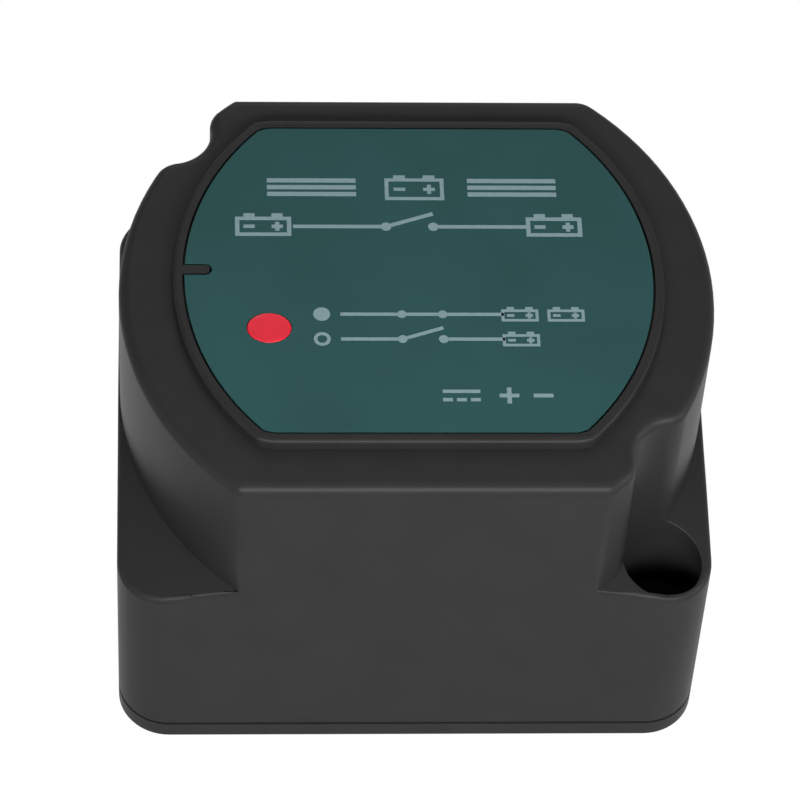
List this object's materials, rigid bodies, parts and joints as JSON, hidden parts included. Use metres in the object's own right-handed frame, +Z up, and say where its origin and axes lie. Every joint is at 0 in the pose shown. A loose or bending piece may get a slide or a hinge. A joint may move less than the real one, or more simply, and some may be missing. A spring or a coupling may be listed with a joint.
{
  "type": "battery isolator relay",
  "caption": "Compact dual-battery relay: black moulded housing with round sides on a square base, diagonal mounting holes, red status window and studs under side cable entries.",
  "frame": {"origin": "centre of the underside of the base plate", "axes": "+Z up out of the label, +X to the right and -Y towards the viewer when the status window is at the front left"},
  "size_m": [0.068, 0.058, 0.05],
  "materials": {
    "housing": "fine moulded grain",
    "label_overlay": "printed matt film",
    "led_window": "polished red lens",
    "bottom_plate": "fine moulded grain",
    "cover_screws": "zinc plated",
    "stud_carrier": "fine moulded grain",
    "carrier_screws": "zinc plated",
    "terminal_stud_left": "bare copper",
    "terminal_stud_right": "bare copper",
    "terminal_washers": "bare machined metal",
    "lock_washers": "zinc plated",
    "terminal_nuts": "bare machined metal",
    "ground_stud": "bare machined metal",
    "ground_washer": "bare machined metal",
    "ground_nut": "bare machined metal",
    "ground_strip": "bare machined metal",
    "contact_chamber": "fine moulded grain",
    "fixed_contact_tips": "silver alloy",
    "return_spring": "zinc plated",
    "fixed_core": "zinc plated",
    "coil_yoke": "zinc plated",
    "yoke_plate": "zinc plated",
    "frame_screws": "zinc plated",
    "coil_bobbin": "fine moulded grain",
    "coil_winding": "enamelled copper wire",
    "coil_pins": "bare machined metal",
    "sense_strips": "bare machined metal",
    "circuit_board": "solder resist",
    "board_screws": "zinc plated",
    "indicator_led": "smooth",
    "sense_chip": "fine moulded grain",
    "driver_transistor": "fine moulded grain",
    "flyback_diode": "fine moulded grain",
    "chip_resistors": "fine moulded grain",
    "filter_capacitor": "smooth",
    "trim_potentiometer": "fine moulded grain",
    "plunger": "zinc plated",
    "pusher_rod": "zinc plated",
    "retaining_clip": "zinc plated",
    "spring_washer": "zinc plated",
    "contact_bridge": "bare copper",
    "moving_contact_tips": "silver alloy",
    "contact_spring": "zinc plated"
  },
  "bodies": {
    "root": {"housing": "housing", "label_overlay": "label_overlay", "led_window": "led_window", "bottom_plate": "bottom_plate", "cover_screws": "cover_screws", "stud_carrier": "stud_carrier", "carrier_screws": "carrier_screws", "terminal_stud_left": "terminal_stud_left", "terminal_stud_right": "terminal_stud_right", "terminal_washers": "terminal_washers", "lock_washers": "lock_washers", "terminal_nuts": "terminal_nuts", "ground_stud": "ground_stud", "ground_washer": "ground_washer", "ground_nut": "ground_nut", "ground_strip": "ground_strip", "contact_chamber": "contact_chamber", "fixed_contact_tips": "fixed_contact_tips", "return_spring": "return_spring", "fixed_core": "fixed_core", "coil_yoke": "coil_yoke", "yoke_plate": "yoke_plate", "frame_screws": "frame_screws", "coil_bobbin": "coil_bobbin", "coil_winding": "coil_winding", "coil_pins": "coil_pins", "sense_strips": "sense_strips", "circuit_board": "circuit_board", "board_screws": "board_screws", "indicator_led": "indicator_led", "sense_chip": "sense_chip", "driver_transistor": "driver_transistor", "flyback_diode": "flyback_diode", "chip_resistors": "chip_resistors", "filter_capacitor": "filter_capacitor", "trim_potentiometer": "trim_potentiometer"},
    "plunger": {"plunger": "plunger", "pusher_rod": "pusher_rod", "retaining_clip": "retaining_clip", "spring_washer": "spring_washer"},
    "bridge": {"contact_bridge": "contact_bridge", "moving_contact_tips": "moving_contact_tips", "contact_spring": "contact_spring"}
  },
  "joints": [
    {"name": "plunger_slide", "type": "slide", "parent": "root", "child": "plunger", "axis": [0, 0, -1], "range_m": [0, 0.002], "stiffness_N_per_m": 400, "springref_m": -0.003, "deforming": ["return_spring"]},
    {"name": "bridge_slide", "type": "slide", "parent": "root", "child": "bridge", "axis": [0, 0, -1], "range_m": [0, 0.0015], "deforming": ["contact_spring"]}
  ],
  "couplings": [
    {"joint": "bridge_slide", "follows": "plunger_slide", "ratio": 0.75}
  ]
}
